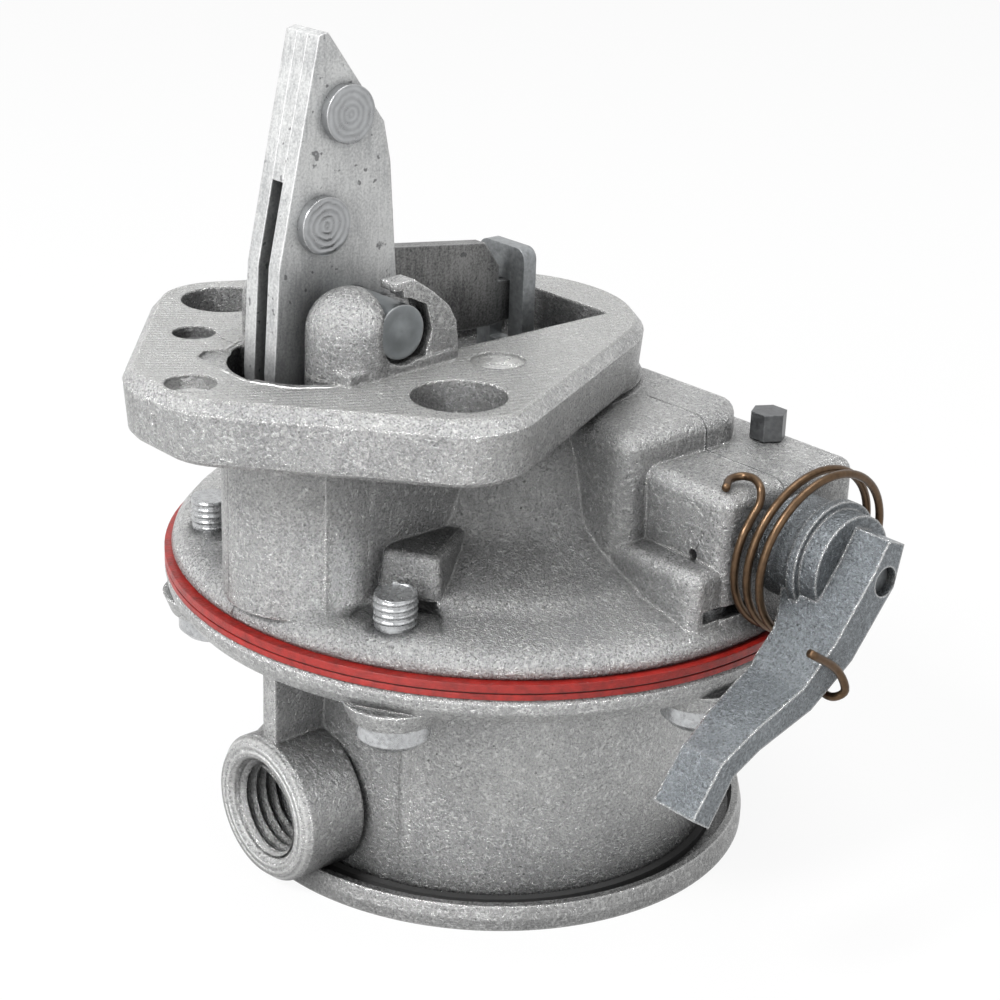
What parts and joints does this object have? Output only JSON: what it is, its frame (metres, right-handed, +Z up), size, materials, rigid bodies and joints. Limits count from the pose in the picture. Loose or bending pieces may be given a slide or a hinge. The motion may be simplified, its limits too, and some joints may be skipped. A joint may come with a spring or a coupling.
{
  "type": "fuel transfer pump",
  "caption": "Cam-driven diaphragm fuel lift pump: cast housings round a red diaphragm, rocker lever, mounting flange, threaded ports and a sprung hand primer lever.",
  "frame": {"origin": "on the pump axis, in the plane of the cover rim that the pump stands on", "axes": "+Z up along the pump axis to the rocker, +X along the rocker pin towards the hand primer, -Y towards the inlet port"},
  "size_m": [0.1009, 0.0955, 0.1064],
  "materials": {
    "cast_upper": "granular die casting, milled mounting face",
    "cast_lower": "granular die casting, turned port face",
    "cover_metal": "turned and worn",
    "gasket_fibre": "matt fibre",
    "plated_steel": "bright zinc plate",
    "mesh_brass": "woven gauze",
    "red_ply": "coated fabric",
    "dark_ply": "matt",
    "plate_steel": "pressed",
    "rod_steel": "turned",
    "spring_steel": "drawn wire",
    "seal_rubber": "matt",
    "lever_steel": "zinc-plated sheet",
    "rivet_steel": "turned heads",
    "primer_metal": "grainy zinc-coloured casting",
    "bronze_wire": "dark bronze-coloured spring wire",
    "dark_steel": "dark oiled steel",
    "valve_brass": "turned",
    "valve_rubber": "moulded"
  },
  "bodies": {
    "housing": {"lower_housing": "cast_lower", "upper_housing": "cast_upper", "bottom_cover": "cover_metal", "cover_gasket": "gasket_fibre", "cover_screw": "plated_steel", "cover_washer": "plated_steel", "filter_screen": "mesh_brass", "diaphragm_upper": "red_ply", "diaphragm_insert": "dark_ply", "diaphragm_lower": "red_ply", "diaphragm_web": "red_ply", "diaphragm_spring": "spring_steel", "rod_seal": "seal_rubber", "seal_retainer": "plate_steel", "pivot_pin": "rod_steel", "rocker_spring": "spring_steel", "primer_spring": "bronze_wire", "primer_seal": "seal_rubber", "block_pin": "dark_steel", "inlet_valve_seat": "valve_brass", "inlet_valve_spring": "spring_steel", "outlet_valve_seat": "valve_brass", "outlet_valve_spring": "spring_steel", "flange_screws": "plated_steel"},
    "rocker": {"rocker_plate_outer": "lever_steel", "rocker_plate_middle": "lever_steel", "rocker_plate_inner": "lever_steel", "rocker_rivets": "rivet_steel"},
    "link": {"link_arm": "lever_steel"},
    "rod": {"pull_rod": "rod_steel", "diaphragm_centre": "red_ply", "lift_washer": "plate_steel", "diaphragm_plate_upper": "plate_steel", "diaphragm_plate_lower": "plate_steel", "rod_nut": "plate_steel"},
    "primer": {"primer_shaft": "rod_steel", "primer_lever": "primer_metal"},
    "inlet_valve": {"inlet_valve_disc": "valve_rubber"},
    "outlet_valve": {"outlet_valve_disc": "valve_rubber"}
  },
  "joints": [
    {"name": "rocker_pivot", "type": "hinge", "parent": "housing", "child": "rocker", "pos_m": [0, -0.0268, 0.0739], "axis": [1, 0, 0], "range_deg": [0, 7.7], "stiffness_Nm_per_rad": 0.5, "springref_deg": -5.73, "deforming": ["rocker_spring"]},
    {"name": "link_pivot", "type": "hinge", "parent": "housing", "child": "link", "pos_m": [0, -0.0268, 0.0739], "axis": [1, 0, 0], "range_deg": [0, 7.7]},
    {"name": "rod_slide", "type": "slide", "parent": "housing", "child": "rod", "axis": [0, 0, 1], "range_m": [0, 0.00365], "deforming": ["diaphragm_spring", "diaphragm_web"]},
    {"name": "primer_pivot", "type": "hinge", "parent": "housing", "child": "primer", "pos_m": [0.045, 0.009, 0.049], "axis": [1, 0, 0], "range_deg": [-30, 0], "stiffness_Nm_per_rad": 0.3, "springref_deg": 17.19, "deforming": ["primer_spring"]},
    {"name": "inlet_valve_lift", "type": "slide", "parent": "housing", "child": "inlet_valve", "axis": [0, 0, 1], "range_m": [0, 0.0012], "stiffness_N_per_m": 50, "springref_m": -0.0005, "deforming": ["inlet_valve_spring"]},
    {"name": "outlet_valve_lift", "type": "slide", "parent": "housing", "child": "outlet_valve", "axis": [0, 0, -1], "range_m": [0, 0.0012], "stiffness_N_per_m": 50, "springref_m": -0.0005, "deforming": ["outlet_valve_spring"]}
  ],
  "couplings": [
    {"joint": "link_pivot", "follows": "rocker_pivot", "ratio": 1},
    {"joint": "rod_slide", "follows": "rocker_pivot", "m_per_rad": 0.0268}
  ]
}
